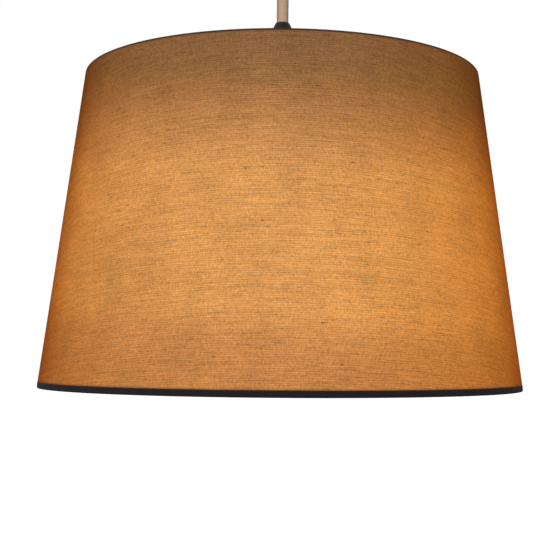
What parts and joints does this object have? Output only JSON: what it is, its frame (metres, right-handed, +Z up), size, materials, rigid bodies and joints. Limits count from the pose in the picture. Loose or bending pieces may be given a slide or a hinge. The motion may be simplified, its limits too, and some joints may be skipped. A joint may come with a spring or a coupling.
{
  "type": "fabric shade pendant light",
  "caption": "Tapered fabric drum shade on a wire frame, hung from a screw lampholder, round flex and ceiling canopy.",
  "frame": {"origin": "middle of the bracket's flat face against the ceiling", "axes": "+Z up towards the ceiling along the flex and the shade's axis, +X along the bracket, -Y the side seen in the picture"},
  "size_m": [0.3, 0.3003, 0.3873],
  "materials": {
    "steel": "zinc plated",
    "brass": "bright, slightly dulled",
    "nickel": "bright",
    "solder": "dull",
    "black_metal": "satin",
    "black_plastic": "moulded, satin",
    "white_plastic": "moulded, satin",
    "ceramic": "glazed",
    "flex_sheath": "fine woven sleeve",
    "brown_core": "smooth",
    "blue_core": "smooth",
    "earth_core": "smooth, striped",
    "linen": "slubby plain weave, lit from behind",
    "liner": "matt film",
    "dark_trim": "rolled edge",
    "white_wire": "powder coated",
    "black_glass": "glassy",
    "opal": "satin, lit",
    "board": "white printed",
    "circuit": "printed board"
  },
  "bodies": {
    "bracket": {"ceiling_bracket": "steel", "canopy_screw_1": "steel", "canopy_screw_2": "steel", "earth_tag": "brass", "earth_screw": "brass", "terminal_block": "white_plastic", "block_screw": "steel", "terminal_screw_1": "brass", "terminal_screw_2": "brass", "terminal_screw_3": "brass", "cord_saddle": "white_plastic", "saddle_screw_1": "steel", "saddle_screw_2": "steel", "flex_inside": "flex_sheath", "live_core_top": "brown_core", "neutral_core_top": "blue_core", "earth_lead": "earth_core", "canopy_cup": "black_metal", "cord_grip": "black_plastic", "grip_screw": "steel", "grip_nut": "steel"},
    "flex_top": {"flex_bend": "flex_sheath"},
    "flex_link": {"flex": "flex_sheath"},
    "holder": {"holder_cap": "black_plastic", "flex_end": "flex_sheath", "grip_collar": "white_plastic", "live_core_bottom": "brown_core", "neutral_core_bottom": "blue_core", "contact_insert": "ceramic", "holder_terminal_1": "brass", "holder_terminal_2": "brass", "holder_screw_1": "steel", "holder_screw_2": "steel", "centre_contact": "brass", "side_contact": "brass", "screw_shell": "brass", "holder_skirt": "black_plastic"},
    "shade": {"fitter_ring": "white_wire", "spider_arm_1": "white_wire", "spider_arm_2": "white_wire", "spider_arm_3": "white_wire", "top_wire_ring": "white_wire", "bottom_wire_ring": "white_wire", "fabric_cover": "linen", "shade_liner": "liner", "side_seam": "linen", "top_trim": "dark_trim", "bottom_trim": "dark_trim"},
    "ring": {"shade_ring": "black_plastic"},
    "lamp": {"tip_contact": "solder", "cap_insulator": "black_glass", "lamp_cap": "nickel", "lamp_housing": "white_plastic", "light_board": "board", "driver_board": "circuit", "lamp_globe": "opal"}
  },
  "joints": [
    {"name": "swing_side", "type": "hinge", "parent": "bracket", "child": "flex_top", "pos_m": [0, 0, -0.0728], "axis": [0, 1, 0], "range_deg": [-25, 25]},
    {"name": "swing_fore", "type": "hinge", "parent": "flex_top", "child": "flex_link", "pos_m": [0, 0, -0.0848], "axis": [1, 0, 0], "range_deg": [-25, 25]},
    {"name": "flex_twist", "type": "hinge", "parent": "flex_link", "child": "holder", "pos_m": [0, 0, -0.1543], "axis": [0, 0, 1], "range_deg": [-180, 180]},
    {"name": "lamp_turn", "type": "hinge", "parent": "holder", "child": "lamp", "pos_m": [0, 0, -0.21], "axis": [0, 0, -1], "range_deg": [0, 1800]},
    {"name": "shade_drop", "type": "slide", "parent": "holder", "child": "shade", "axis": [0, 0, -1], "range_m": [0, 0.015]},
    {"name": "ring_turn", "type": "hinge", "parent": "shade", "child": "ring", "pos_m": [0, 0, -0.203], "axis": [0, 0, -1], "range_deg": [0, 1800]}
  ],
  "couplings": [
    {"joint": "ring_turn", "follows": "shade_drop", "rad_per_m": 2094.3}
  ]
}
